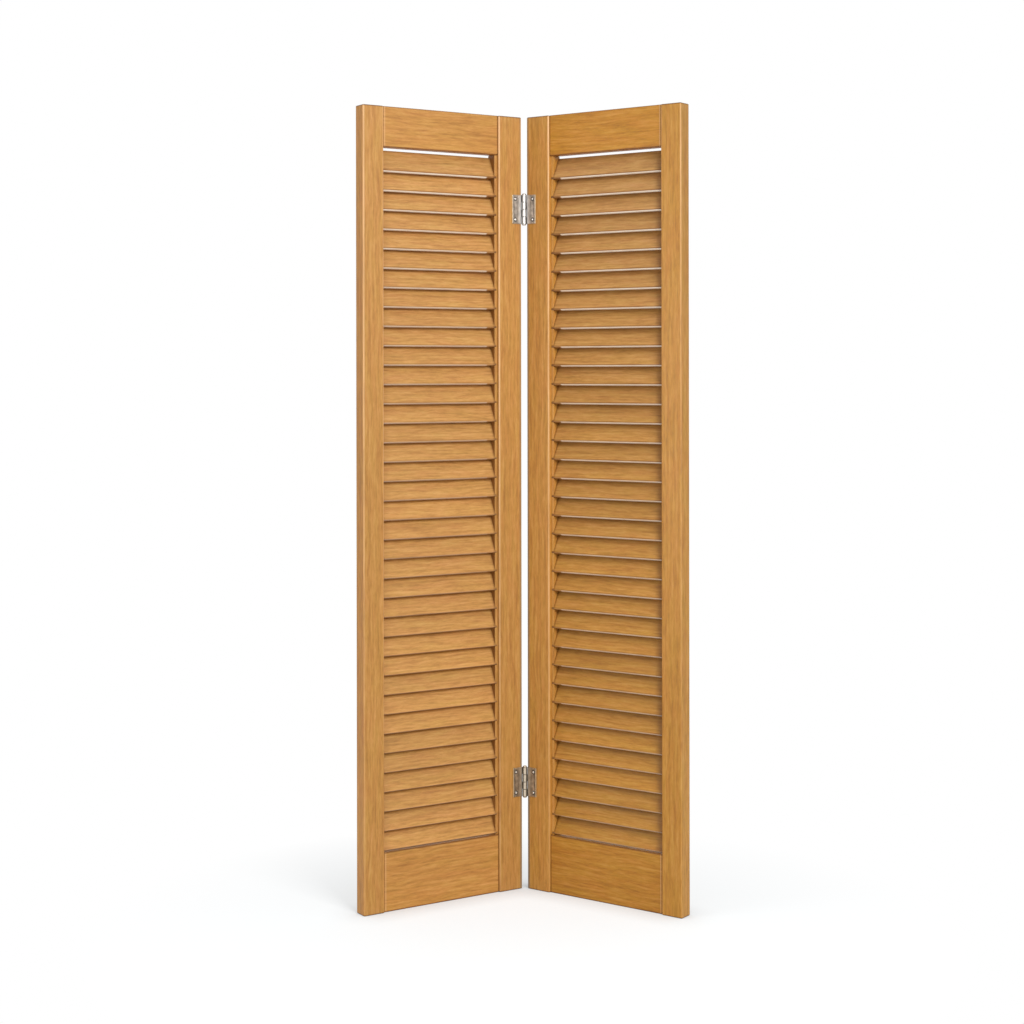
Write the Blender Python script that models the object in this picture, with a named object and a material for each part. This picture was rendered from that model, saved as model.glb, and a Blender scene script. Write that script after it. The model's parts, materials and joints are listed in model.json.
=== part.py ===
"""A two-leaf folding louvre door: framed leaves with fixed slats, hinged together on their front faces."""

import math

import bmesh
import bpy
from mathutils import Matrix

# Leaf frame, in metres: uprights (stiles) and cross boards (rails). Between the rails, the inner edge of
# each hinge stile has a step, set back behind the stile's face, that takes the slat ends
LEAF_HEIGHT = 1.981
LEAF_WIDTH = 0.460
STILE_THICKNESS = 0.040
OUTER_STILE_WIDTH = 0.0575
HINGE_STILE_WIDTH = 0.069
TOP_RAIL_HEIGHT = 0.100
BOTTOM_RAIL_HEIGHT = 0.147
RAIL_SETBACK = 0.005
TENON_LENGTH = 0.034
TENON_THICKNESS = 0.012
TENON_SHOULDER = 0.018
INNER_ROUNDOVER = 0.004
OUTER_ROUNDOVER = 0.004
END_EASING = 0.0025
RAIL_EASING = 0.001
STEP_WIDTH = 0.008
STEP_SETBACK = 0.009
STEP_ROOT = 0.006
STEP_BACK = 0.001

# Louvre slats, made up in pairs on two tie strips that slide into grooves in the stiles
LOUVRES_PER_LEAF = 36
LOUVRE_WIDTH = 0.060
LOUVRE_THICKNESS = 0.008
LOUVRE_EDGE_RADIUS = 0.0025
LOUVRE_TILT = math.radians(26.0)
LOUVRE_SETBACK = 0.0073
LOUVRE_TOP_MARGIN = 0.0096
LOUVRE_BOTTOM_MARGIN = 0.0052
TIE_WIDTH = 0.006
TIE_DEPTH = 0.006
STUB_HEIGHT = 0.003
STUB_WIDTH = 0.003

# Butt hinges on the front faces, with the pin in front of the gap between the leaves
HINGE_FROM_TOP = 0.237
HINGE_FROM_BOTTOM = 0.275
PLATE_HEIGHT = 0.075
PLATE_REACH = 0.033
PLATE_THICKNESS = 0.0022
KNUCKLE_RADIUS = 0.0061
KNUCKLES_PER_PLATE = 2
ROLL_PROUD = 0.0008
PIN_TIP_RADIUS = 0.0053
PIN_TIP_HEIGHT = 0.004
STILE_TO_PIN = 0.0038

# Countersunk wood screws, two in each plate
SCREW_OFFSET = 0.0245
SCREW_INSET = 0.011
SCREW_HEAD_RADIUS = 0.004
SCREW_SHANK_RADIUS = 0.002
SCREW_LENGTH = 0.022
SCREW_POINT = 0.004
SCREW_DOME = 0.0014

# Each leaf's turn from the flat, straight door
LEAF_SWING = math.radians(34.3)

# Clearance between pieces that touch, and how far a cutting shape runs past a face
FIT_GAP = 0.0003
CUT_PAST = 0.004

# How finely round shapes are divided
ARRIS_STEPS = 3
EDGE_STEPS = 2
DOME_STEPS = 3
BARREL_STEPS = 16
SCREW_STEPS = 12
MERGE_DISTANCE = 0.000001
SMOOTH_ANGLE = math.radians(40.0)

# Sizes that follow from the ones above
PLATE_BACK = KNUCKLE_RADIUS - ROLL_PROUD
PLATE_FRONT = PLATE_BACK - PLATE_THICKNESS
LEAF_FRONT = PLATE_BACK + FIT_GAP
LEAF_MIDDLE = LEAF_FRONT + STILE_THICKNESS / 2
BORE_RADIUS = KNUCKLE_RADIUS - PLATE_THICKNESS
OPENING_WIDTH = LEAF_WIDTH - OUTER_STILE_WIDTH - HINGE_STILE_WIDTH
OPENING_START = STILE_TO_PIN + HINGE_STILE_WIDTH
OPENING_MIDDLE = OPENING_START + OPENING_WIDTH / 2
LOUVRE_SPAN = OPENING_WIDTH - STEP_WIDTH
LOUVRE_CENTRE = OPENING_START + STEP_WIDTH + LOUVRE_SPAN / 2
OPENING_HEIGHT = LEAF_HEIGHT - TOP_RAIL_HEIGHT - BOTTOM_RAIL_HEIGHT
LOUVRE_STACK = OPENING_HEIGHT - LOUVRE_TOP_MARGIN - LOUVRE_BOTTOM_MARGIN
LOUVRE_PITCH = LOUVRE_STACK / LOUVRES_PER_LEAF
LOUVRE_DEPTH = LOUVRE_WIDTH * math.sin(LOUVRE_TILT) + LOUVRE_THICKNESS * math.cos(LOUVRE_TILT)
LOUVRE_MIDDLE = LEAF_FRONT + LOUVRE_SETBACK + LOUVRE_DEPTH / 2
STACK_BOTTOM = BOTTOM_RAIL_HEIGHT + LOUVRE_BOTTOM_MARGIN
HINGE_HEIGHTS = {"upper": LEAF_HEIGHT - HINGE_FROM_TOP, "lower": HINGE_FROM_BOTTOM}
SCREW_RISE = PLATE_HEIGHT / 2 - SCREW_INSET
SIDES = {"left": -1, "right": 1}


def mesh_from(bm):
    """Turn working geometry into a mesh with its faces pointing out."""
    bmesh.ops.recalc_face_normals(bm, faces=bm.faces)
    mesh = bpy.data.meshes.new("shape")
    bm.to_mesh(mesh)
    bm.free()
    return mesh


def box(low, high):
    """Working geometry of a block between two corners."""
    bm = bmesh.new()
    middle = [(a + b) / 2 for a, b in zip(low, high)]
    size = [b - a for a, b in zip(low, high)]
    bmesh.ops.create_cube(bm, size=1.0, matrix=Matrix.Translation(middle) @ Matrix.Diagonal(size).to_4x4())
    return bm


def round_edges(bm, radius, steps, chosen):
    """Round the edges for which chosen(one end, other end) holds."""
    edges = [edge for edge in bm.edges if chosen(edge.verts[0].co, edge.verts[1].co)]
    bmesh.ops.bevel(bm, geom=edges, offset=radius, segments=steps, profile=0.5, affect="EDGES")


def turned(profile, steps):
    """A solid turned about Z from (radius, height) points that begin and end on the axis."""
    bm = bmesh.new()
    points = [bm.verts.new((radius, 0.0, height)) for radius, height in profile]
    lines = [bm.edges.new(pair) for pair in zip(points, points[1:])]
    bmesh.ops.spin(bm, geom=points + lines, axis=(0, 0, 1), cent=(0, 0, 0), angle=math.tau, steps=steps)
    bmesh.ops.remove_doubles(bm, verts=bm.verts, dist=MERGE_DISTANCE)
    bmesh.ops.rotate(bm, verts=bm.verts, cent=(0, 0, 0), matrix=Matrix.Rotation(math.pi / steps, 3, "Z"))
    return mesh_from(bm)


def moved(mesh, matrix):
    """A copy of a mesh in another place."""
    copy = mesh.copy()
    copy.transform(matrix)
    return copy


def joined(meshes):
    """Separate closed meshes put together as one."""
    bm = bmesh.new()
    for mesh in meshes:
        bm.from_mesh(mesh)
    return mesh_from(bm)


def combine(base, others, operation):
    """Join closed meshes to a base, or cut them out of it, as one mesh."""
    workpiece = bpy.data.objects.new("workpiece", base)
    bpy.context.scene.collection.objects.link(workpiece)
    tools = []
    for other in others:
        tool = bpy.data.objects.new("tool", other)
        bpy.context.scene.collection.objects.link(tool)
        modifier = workpiece.modifiers.new(operation, "BOOLEAN")
        modifier.operation = operation
        modifier.solver = "EXACT"
        modifier.object = tool
        tools.append(tool)
    bpy.context.view_layer.update()
    evaluated = workpiece.evaluated_get(bpy.context.evaluated_depsgraph_get())
    bm = bmesh.new()
    bm.from_mesh(evaluated.data)
    bmesh.ops.remove_doubles(bm, verts=bm.verts, dist=MERGE_DISTANCE)
    for helper in [workpiece] + tools:
        bpy.data.objects.remove(helper)
    return mesh_from(bm)


def finish(name, colour, roughness, metallic):
    """A plain material for one kind of piece."""
    material = bpy.data.materials.new(name)
    material.use_nodes = True
    shader = material.node_tree.nodes["Principled BSDF"]
    shader.inputs["Base Color"].default_value = (*colour, 1.0)
    shader.inputs["Roughness"].default_value = roughness
    shader.inputs["Metallic"].default_value = metallic
    return material


def place(name, mesh, material, parent, location=(0.0, 0.0, 0.0), turn=(0.0, 0.0, 0.0)):
    """Put a finished piece on its leaf."""
    mesh.materials.clear()
    mesh.materials.append(material)
    mesh.shade_smooth()
    mesh.set_sharp_from_angle(angle=SMOOTH_ANGLE)
    piece = bpy.data.objects.new(name, mesh)
    piece.parent = parent
    piece.location = location
    piece.rotation_euler = turn
    bpy.context.scene.collection.objects.link(piece)


def pivot(name, parent, location, swing):
    """An empty that carries pieces about the hinge line."""
    empty = bpy.data.objects.new(name, None)
    empty.parent = parent
    empty.location = location
    empty.rotation_euler = (0.0, 0.0, swing)
    bpy.context.scene.collection.objects.link(empty)
    return empty


def tenon_span(rail_bottom, rail_height):
    """Lowest and highest level of a rail's tenon."""
    return rail_bottom + TENON_SHOULDER, rail_bottom + rail_height - TENON_SHOULDER


def stile_cuts(side, inner_edge, slat_edge, into):
    """Mortises cut from a stile's inner edge, and the louvre groove from the edge at the slat ends.

    Both run in the direction into (-1 or 1).
    """
    bottom_tenon = tenon_span(0.0, BOTTOM_RAIL_HEIGHT)
    top_tenon = tenon_span(LEAF_HEIGHT - TOP_RAIL_HEIGHT, TOP_RAIL_HEIGHT)
    spans = [
        (bottom_tenon, TENON_THICKNESS, LEAF_MIDDLE, inner_edge, TENON_LENGTH),
        (top_tenon, TENON_THICKNESS, LEAF_MIDDLE, inner_edge, TENON_LENGTH),
        ((STACK_BOTTOM, STACK_BOTTOM + LOUVRE_STACK), TIE_WIDTH, LOUVRE_MIDDLE, slat_edge, TIE_DEPTH),
    ]
    cuts = []
    for (bottom, top), thickness, middle, edge, depth in spans:
        ends = sorted((side * (edge - into * CUT_PAST), side * (edge + into * (depth + FIT_GAP))))
        reach = thickness / 2 + FIT_GAP
        low = (ends[0], middle - reach, bottom - FIT_GAP)
        high = (ends[1], middle + reach, top + FIT_GAP)
        cuts.append(mesh_from(box(low, high)))
    return cuts


def slat_step(side):
    """The step along a hinge stile's inner edge, between the rails."""
    ends = sorted((side * (OPENING_START - STEP_ROOT), side * (OPENING_START + STEP_WIDTH)))
    low = (ends[0], LEAF_FRONT + STEP_SETBACK, BOTTOM_RAIL_HEIGHT + FIT_GAP)
    high = (ends[1], LEAF_FRONT + STILE_THICKNESS - STEP_BACK, LEAF_HEIGHT - TOP_RAIL_HEIGHT - FIT_GAP)
    return mesh_from(box(low, high))


def stile(side, start, width, inner_is_far, holes):
    """One upright board with rounded arrises, mortises, a louvre groove and holes; the hinge one is stepped."""
    ends = sorted((side * start, side * (start + width)))
    bm = box((ends[0], LEAF_FRONT, 0.0), (ends[1], LEAF_FRONT + STILE_THICKNESS, LEAF_HEIGHT))
    inner_edge = start + width if inner_is_far else start
    middle = side * (start + width / 2)
    inner_side = math.copysign(1.0, side * inner_edge - middle)

    def upright(a, b):
        return abs(a.z - b.z) > LEAF_HEIGHT / 2

    def at_an_end(a, b):
        return a.z == b.z

    def inner_arris(a, b):
        return upright(a, b) and (a.x - middle) * inner_side > 0

    def outer_arris(a, b):
        return upright(a, b) and (a.x - middle) * inner_side < 0

    round_edges(bm, INNER_ROUNDOVER, ARRIS_STEPS, inner_arris)
    round_edges(bm, OUTER_ROUNDOVER, ARRIS_STEPS, outer_arris)
    round_edges(bm, END_EASING, 1, at_an_end)
    board = combine(mesh_from(bm), holes, "DIFFERENCE")
    if inner_is_far:
        board = combine(board, [slat_step(side)], "UNION")
        return combine(board, stile_cuts(side, inner_edge, inner_edge + STEP_WIDTH, -1), "DIFFERENCE")
    return combine(board, stile_cuts(side, inner_edge, inner_edge, 1), "DIFFERENCE")


def rail(side, bottom, height):
    """One cross board with a tenon on each end."""
    half = OPENING_WIDTH / 2
    middle = side * OPENING_MIDDLE
    front = LEAF_FRONT + RAIL_SETBACK
    back = LEAF_FRONT + STILE_THICKNESS - RAIL_SETBACK
    low = (middle - half + FIT_GAP, front, bottom)
    high = (middle + half - FIT_GAP, back, bottom + height)
    board = box(low, high)
    round_edges(board, RAIL_EASING, 1, lambda a, b: abs(a.x - b.x) > half)
    tenon_bottom, tenon_top = tenon_span(bottom, height)
    tenon_low = (middle - half - TENON_LENGTH, LEAF_MIDDLE - TENON_THICKNESS / 2, tenon_bottom)
    tenon_high = (middle + half + TENON_LENGTH, LEAF_MIDDLE + TENON_THICKNESS / 2, tenon_top)
    return combine(mesh_from(board), [mesh_from(box(tenon_low, tenon_high))], "UNION")


def louvre_pair():
    """Two slats and their two tie strips, about the middle of the pair."""
    half = LOUVRE_SPAN / 2
    slat_end = half - FIT_GAP
    slat = box(
        (-slat_end, -LOUVRE_THICKNESS / 2, -LOUVRE_WIDTH / 2),
        (slat_end, LOUVRE_THICKNESS / 2, LOUVRE_WIDTH / 2),
    )
    round_edges(slat, LOUVRE_EDGE_RADIUS, EDGE_STEPS, lambda a, b: abs(a.x - b.x) > half)
    slat_mesh = mesh_from(slat)
    tilted = Matrix.Rotation(-LOUVRE_TILT, 4, "X")
    tie_half = LOUVRE_PITCH - FIT_GAP / 2
    pieces = []
    for rise in (-LOUVRE_PITCH / 2, LOUVRE_PITCH / 2):
        pieces.append(moved(slat_mesh, Matrix.Translation((0.0, 0.0, rise)) @ tilted))
        for end in (-1, 1):
            spread = sorted((end * (slat_end - TIE_DEPTH / 2), end * (half + TIE_DEPTH / 2)))
            low = (spread[0], -STUB_WIDTH / 2, rise - STUB_HEIGHT / 2)
            high = (spread[1], STUB_WIDTH / 2, rise + STUB_HEIGHT / 2)
            pieces.append(mesh_from(box(low, high)))
    for end in (-1, 1):
        spread = sorted((end * half, end * (half + TIE_DEPTH)))
        low = (spread[0], -TIE_WIDTH / 2, -tie_half)
        high = (spread[1], TIE_WIDTH / 2, tie_half)
        pieces.append(mesh_from(box(low, high)))
    return combine(pieces[0], pieces[1:], "UNION")


def dome(radius, height, base):
    """A rounded end above the level base, as (radius, height) points from its rim to its top."""
    turns = [step * math.pi / 2 / DOME_STEPS for step in range(DOME_STEPS)]
    rim = [(radius * math.cos(turn), base + height * math.sin(turn)) for turn in turns]
    return rim + [(0.0, base + height)]


def shank_profile(extra):
    """A screw below its countersunk head, as (radius, height) points, grown by extra all round."""
    shank = SCREW_SHANK_RADIUS + extra
    neck = SCREW_SHANK_RADIUS - SCREW_HEAD_RADIUS
    return [
        (0.0, -SCREW_LENGTH - extra),
        (shank, -SCREW_LENGTH - extra + SCREW_POINT),
        (shank, neck),
    ]


def screw():
    """A wood screw along Z, with the rim of its slightly domed head at the level of the plate's face."""
    return turned(shank_profile(0.0) + dome(SCREW_HEAD_RADIUS, SCREW_DOME, 0.0), SCREW_STEPS)


def screw_hole():
    """The countersunk hole for a screw, whose flare runs out past the plate's face."""
    flare = SCREW_HEAD_RADIUS + FIT_GAP + CUT_PAST
    return turned(shank_profile(FIT_GAP) + [(flare, CUT_PAST), (0.0, CUT_PAST)], SCREW_STEPS)


def screw_seats(side):
    """Where a plate's two screws sit, as matrices about the middle of the hinge, heads to the front."""
    facing = Matrix.Rotation(math.pi / 2, 4, "X")
    return [
        Matrix.Translation((side * SCREW_OFFSET, PLATE_FRONT, rise)) @ facing
        for rise in (SCREW_RISE, -SCREW_RISE)
    ]


def knuckle_spans():
    """Lowest and highest level of the knuckles that a right-hand plate is rolled into."""
    slots = 2 * KNUCKLES_PER_PLATE
    step = PLATE_HEIGHT / slots
    spans = []
    for slot in range(1, slots, 2):
        top = PLATE_HEIGHT / 2 - slot * step
        spans.append((top - step + FIT_GAP / 2, top - FIT_GAP / 2))
    return spans


def hinge_plate(hole):
    """A right-hand plate about the middle of its hinge; turned over, it is the left-hand one."""
    half = PLATE_HEIGHT / 2
    notch = math.sqrt((KNUCKLE_RADIUS + FIT_GAP) ** 2 - PLATE_FRONT ** 2)
    outline = [(PLATE_REACH, -half), (PLATE_REACH, half), (notch, half)]
    for low, high in knuckle_spans():
        outline += [(notch, high), (0.0, high), (0.0, low), (notch, low)]
    outline.append((notch, -half))
    bm = bmesh.new()
    face = bm.faces.new([bm.verts.new((x, PLATE_FRONT, z)) for x, z in outline])
    sweep = bmesh.ops.extrude_face_region(bm, geom=[face])
    back = [item for item in sweep["geom"] if isinstance(item, bmesh.types.BMVert)]
    bmesh.ops.translate(bm, verts=back, vec=(0.0, PLATE_THICKNESS, 0.0))
    knuckles = []
    for low, high in knuckle_spans():
        profile = [(0.0, low), (KNUCKLE_RADIUS, low), (KNUCKLE_RADIUS, high), (0.0, high)]
        knuckles.append(turned(profile, BARREL_STEPS))
    rolled = combine(mesh_from(bm), knuckles, "UNION")
    end = half + CUT_PAST
    bore = turned([(0.0, -end), (BORE_RADIUS, -end), (BORE_RADIUS, end), (0.0, end)], BARREL_STEPS)
    holes = [moved(hole, seat) for seat in screw_seats(1)]
    return combine(rolled, [bore] + holes, "DIFFERENCE")


def hinge_pin():
    """The pin with its two rounded tips, about the middle of the hinge."""
    collar = PLATE_HEIGHT / 2 + FIT_GAP
    upper = [(BORE_RADIUS - FIT_GAP, collar)] + dome(PIN_TIP_RADIUS, PIN_TIP_HEIGHT, collar)
    lower = [(radius, -height) for radius, height in reversed(upper)]
    return turned(lower + upper, BARREL_STEPS)


def hinge_line_depth():
    """How far behind the door's middle the hinge line lies, so that the door stands about the origin."""
    corner = OUTER_ROUNDOVER
    sine, cosine = math.sin(LEAF_SWING), math.cos(LEAF_SWING)
    outer = STILE_TO_PIN + LEAF_WIDTH
    leaf_back = LEAF_FRONT + STILE_THICKNESS
    frontmost = cosine * (LEAF_FRONT + corner) - sine * (outer - corner) - corner
    backmost = cosine * (leaf_back - corner) - sine * (STILE_TO_PIN + corner) + corner
    return -(frontmost + backmost) / 2


def build_door():
    """Make every piece and hang it on its leaf."""
    stile_wood = finish("stile_wood", (0.50, 0.26, 0.09), 0.45, 0.0)
    rail_wood = finish("rail_wood", (0.47, 0.24, 0.08), 0.45, 0.0)
    louvre_wood = finish("louvre_wood", (0.44, 0.22, 0.07), 0.5, 0.0)
    hinge_steel = finish("hinge_steel", (0.55, 0.53, 0.50), 0.3, 1.0)
    pin_steel = finish("pin_steel", (0.60, 0.59, 0.57), 0.25, 1.0)
    screw_steel = finish("screw_steel", (0.50, 0.48, 0.45), 0.35, 1.0)

    hinge_line = pivot("hinge_line", None, (0.0, hinge_line_depth(), 0.0), 0.0)
    leaves = {name: pivot(name + "_leaf", hinge_line, (0.0, 0.0, 0.0), -side * LEAF_SWING)
              for name, side in SIDES.items()}
    pair_mesh = louvre_pair()
    hole = screw_hole()
    plate_mesh = hinge_plate(hole)
    pin_mesh = hinge_pin()
    screw_mesh = screw()

    for name, side in SIDES.items():
        leaf = leaves[name]
        pilots = joined(
            moved(hole, Matrix.Translation((0.0, 0.0, level)) @ seat)
            for level in HINGE_HEIGHTS.values()
            for seat in screw_seats(side)
        )
        hinge_stile = stile(side, STILE_TO_PIN, HINGE_STILE_WIDTH, True, [pilots])
        outer_stile = stile(side, OPENING_START + OPENING_WIDTH, OUTER_STILE_WIDTH, False, [])
        place(name + "_hinge_stile", hinge_stile, stile_wood, leaf)
        place(name + "_outer_stile", outer_stile, stile_wood, leaf)
        place(name + "_bottom_rail", rail(side, 0.0, BOTTOM_RAIL_HEIGHT), rail_wood, leaf)
        top_rail = rail(side, LEAF_HEIGHT - TOP_RAIL_HEIGHT, TOP_RAIL_HEIGHT)
        place(name + "_top_rail", top_rail, rail_wood, leaf)
        for pair in range(LOUVRES_PER_LEAF // 2):
            level = STACK_BOTTOM + (2 * pair + 1) * LOUVRE_PITCH
            where = (side * LOUVRE_CENTRE, LOUVRE_MIDDLE, level)
            place(f"{name}_louvre_pair_{pair + 1:02d}", pair_mesh, louvre_wood, leaf, where)
        flip = 0.0 if side > 0 else math.pi
        for hinge, level in HINGE_HEIGHTS.items():
            label = f"{hinge}_hinge_{name}_plate"
            place(label, plate_mesh, hinge_steel, leaf, (0.0, 0.0, level), (0.0, flip, 0.0))
            for spot, seat in zip(("high", "low"), screw_seats(side)):
                where = seat.translation
                turn = seat.to_euler()
                label = f"{hinge}_hinge_{name}_screw_{spot}"
                place(label, screw_mesh, screw_steel, leaf, (where.x, where.y, where.z + level), turn)
    for hinge, level in HINGE_HEIGHTS.items():
        place(f"{hinge}_hinge_pin", pin_mesh, pin_steel, leaves["left"], (0.0, 0.0, level))


for old in list(bpy.data.objects):
    bpy.data.objects.remove(old)
build_door()
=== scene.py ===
"""A folding louvre door of two honey-coloured oak leaves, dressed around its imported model."""

import json
import math
import random

import bmesh
import bpy
from mathutils import Matrix, Vector

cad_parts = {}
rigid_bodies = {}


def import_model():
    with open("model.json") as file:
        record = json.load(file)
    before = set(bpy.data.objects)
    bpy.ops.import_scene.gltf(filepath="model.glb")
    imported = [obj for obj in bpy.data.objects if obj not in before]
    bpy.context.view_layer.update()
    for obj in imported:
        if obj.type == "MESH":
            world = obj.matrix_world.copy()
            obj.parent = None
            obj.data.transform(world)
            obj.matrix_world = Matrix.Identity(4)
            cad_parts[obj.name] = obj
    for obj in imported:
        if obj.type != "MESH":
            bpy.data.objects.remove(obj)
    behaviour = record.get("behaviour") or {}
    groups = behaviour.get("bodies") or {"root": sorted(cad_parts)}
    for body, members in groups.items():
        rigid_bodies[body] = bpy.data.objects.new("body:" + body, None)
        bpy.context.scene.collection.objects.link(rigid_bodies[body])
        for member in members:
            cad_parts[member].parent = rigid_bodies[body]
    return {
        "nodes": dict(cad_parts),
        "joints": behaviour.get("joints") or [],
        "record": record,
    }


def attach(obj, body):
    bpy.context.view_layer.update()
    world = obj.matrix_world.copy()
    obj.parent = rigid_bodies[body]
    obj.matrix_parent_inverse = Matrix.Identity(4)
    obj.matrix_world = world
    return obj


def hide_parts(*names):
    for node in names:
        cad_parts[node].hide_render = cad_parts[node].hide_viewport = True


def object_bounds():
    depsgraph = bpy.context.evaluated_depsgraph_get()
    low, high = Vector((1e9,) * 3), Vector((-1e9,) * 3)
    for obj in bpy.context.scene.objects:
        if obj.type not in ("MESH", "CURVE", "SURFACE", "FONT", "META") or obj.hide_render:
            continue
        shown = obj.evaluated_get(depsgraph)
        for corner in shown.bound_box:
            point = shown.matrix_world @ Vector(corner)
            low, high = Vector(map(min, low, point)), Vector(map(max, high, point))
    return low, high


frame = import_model()
cad_low, cad_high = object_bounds()

# Louvre slats
# Thirty-six thin oak slats in each leaf, planed flat with softly rounded edges and varnished before
# fitting. They lie across the leaf with the front edge low, and their ends sit in housings in the stiles.
LOUVRES_PER_LEAF = 36
LOUVRE_WIDTH = 0.060
LOUVRE_THICKNESS = 0.008
LOUVRE_EDGE_RADIUS = 0.0025
LOUVRE_END_EASING = 0.0004
LOUVRE_TILT = math.radians(26.0)
LOUVRE_TOP_MARGIN = 0.0096
LOUVRE_BOTTOM_MARGIN = 0.0052
LOUVRE_INTO_STILE = 0.0055
STEP_WIDTH = 0.008
RIGHT_RAIL_DROP = 0.003

# How the slats of a leaf differ, lowest to highest: tone with painted shade, warmth, painted lip highlight,
# and edge wear with painted highlight
SLAT_SHADES = {"left": (1.6, 2.5), "right": (-3.6, -0.8)}
SLAT_WARMTHS = {"left": (0.0, -0.5), "right": (1.0, -0.6)}
SLAT_LIP_HIGHLIGHTS = {"left": (-0.35, 0.95), "right": (0.30, 1.05)}
SLAT_WEAR_AND_HIGHLIGHT = {"left": (0.80, 0.30), "right": (0.30, 0.30)}

# What is alike on all slats of a leaf: painted shade paling towards the lip, painted shade under it and at
# the outer end
SLAT_SHADOW_FADES = {"left": 1.4, "right": 3.2}
SLAT_UNDER_SHADE = {"left": 0.85, "right": 0.45}
SLAT_OUTER_SHADE = {"left": 0.25, "right": 0.80}
LIP_START = 0.0010
LIP_RISE = 0.0005
LIP_LINE = -0.0003

# Dark, middle and pale grain, and the seed of each slat's own cut
LOUVRE_OAK = ((0.36, 0.165, 0.036), (0.50, 0.245, 0.058), (0.60, 0.320, 0.096))
SLAT_SEED = 36

# How finely round shapes are divided
ROUND_STEPS = 6
EASING_STEPS = 3
LEAST_RADIUS = 0.0002
SHARP_ANGLE = math.radians(35.0)
WELD = 0.000001

SIDES = {"left": -1, "right": 1}
fold = frame["joints"][0]
leaf_body = {"left": fold["parent"], "right": fold["child"]}
jamb_edge = next(mount for mount in frame["record"]["mounts"] if mount["name"] == "jamb_edge")
leaf_swing = math.atan2(-jamb_edge["axis"][1], -jamb_edge["axis"][0])
hinge_foot = Vector((fold["pos_m"][0], fold["pos_m"][1], 0.0))
leaf_axes = {
    side: Matrix.Translation(hinge_foot) @ Matrix.Rotation(-sign * leaf_swing, 4, "Z")
    for side, sign in SIDES.items()
}


def leaf_box(side, node):
    """Lowest and highest corner of a solid on its leaf's own axes: X across, Y front to back, Z up."""
    to_leaf = leaf_axes[side].inverted()
    points = [to_leaf @ vertex.co for vertex in frame["nodes"][node].data.vertices]
    low = Vector([min(point[axis] for point in points) for axis in range(3)])
    high = Vector([max(point[axis] for point in points) for axis in range(3)])
    return low, high


def rail_box(side, level):
    """Lowest and highest corner of a rail; the right leaf's top one reaches lower than its solid."""
    low, high = leaf_box(side, f"{side}_{level}_rail")
    if (side, level) == ("right", "top"):
        low.z -= RIGHT_RAIL_DROP
    return low, high


def mesh_from(bm):
    """Turns working geometry into a mesh with its faces pointing out."""
    bmesh.ops.recalc_face_normals(bm, faces=bm.faces)
    mesh = bpy.data.meshes.new("shape")
    bm.to_mesh(mesh)
    bm.free()
    return mesh


def section_outline(width, depth, radii):
    """Points round a board's section, width along Y and depth along Z, with a radius for each corner."""
    corners = [(1, 1), (-1, 1), (-1, -1), (1, -1)]
    points = []
    for quarter, ((across, through), radius) in enumerate(zip(corners, radii)):
        for step in range(ROUND_STEPS + 1):
            turn = (quarter + step / ROUND_STEPS) * math.pi / 2
            points.append((
                across * (width / 2 - radius) + radius * math.cos(turn),
                through * (depth / 2 - radius) + radius * math.sin(turn),
            ))
    return points


def board(length, width, depth, radii, easing):
    """A board along X, with its long corners rounded and the rims of its ends eased."""
    rings = []
    for step in range(EASING_STEPS + 1):
        turn = (1 - step / EASING_STEPS) * math.pi / 2
        rings.append((easing * (1 - math.sin(turn)) - length / 2, easing * (1 - math.cos(turn))))
    rings += [(-along, inset) for along, inset in reversed(rings)]
    bm = bmesh.new()
    loops = []
    for along, inset in rings:
        shrunk = [max(radius - inset, LEAST_RADIUS) for radius in radii]
        outline = section_outline(width - 2 * inset, depth - 2 * inset, shrunk)
        loops.append([bm.verts.new((along, across, through)) for across, through in outline])
    for near, far in zip(loops, loops[1:]):
        for index in range(len(near)):
            following = (index + 1) % len(near)
            bm.faces.new((near[index], near[following], far[following], far[index]))
    bm.faces.new(loops[0])
    bm.faces.new(loops[-1])
    return mesh_from(bm)


def store(mesh, name, values):
    """Keeps one number for each of a mesh's points, for its material to read."""
    layer = mesh.attributes.new(name, "FLOAT", "POINT")
    layer.data.foreach_set("value", values)


def store_all(mesh, **values):
    """Keeps the same numbers for all of a mesh's points."""
    for name, value in values.items():
        store(mesh, name, [value] * len(mesh.vertices))


def between(ends, share):
    """A number at a share of the way from one end to the other."""
    return ends[0] + (ends[1] - ends[0]) * share


def roundness(past_one, past_other):
    """One in the middle of a rounded corner and none at its ends, from how far past each a point lies."""
    if min(past_one, past_other) < WELD:
        return 0.0
    return math.sin(2 * math.atan2(past_one, past_other))


def rounded_marks(mesh, length, width, depth, radii, easing):
    """How far each point of a board lies on a rounded long corner, and on the eased rim of an end."""
    corners = []
    rims = []
    for vertex in mesh.vertices:
        along, across, through = vertex.co
        right = across > 0
        radius = radii[(0 if right else 1) if through > 0 else (3 if right else 2)]
        past_side = abs(across) - width / 2 + radius
        past_face = abs(through) - depth / 2 + radius
        past_end = abs(along) - length / 2 + easing
        past_rim = max(abs(across) - width / 2, abs(through) - depth / 2) + easing
        corners.append(roundness(past_face, past_side))
        rims.append(roundness(past_end, past_rim))
    return corners, rims


# The stretch of the tree that a board may come from, in metres, and how far its tone may stray
PLANK_ALONG = (0.0, 40.0)
PLANK_ACROSS = (0.05, 0.16)
PLANK_THROUGH = (-0.10, 0.10)
PLANK_STRAY = (-0.8, 0.8)


def mark_plank(mesh, draw, tone, shown):
    """Gives a board its own stretch of the tree, its tone of the finish, and the half length that shows."""
    shade, warmth = tone
    store_all(
        mesh,
        plank_along=draw.uniform(*PLANK_ALONG),
        plank_across=draw.uniform(*PLANK_ACROSS),
        plank_through=draw.uniform(*PLANK_THROUGH),
        shade=shade + draw.uniform(*PLANK_STRAY),
        warmth=warmth,
        shoulder=shown,
    )


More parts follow.
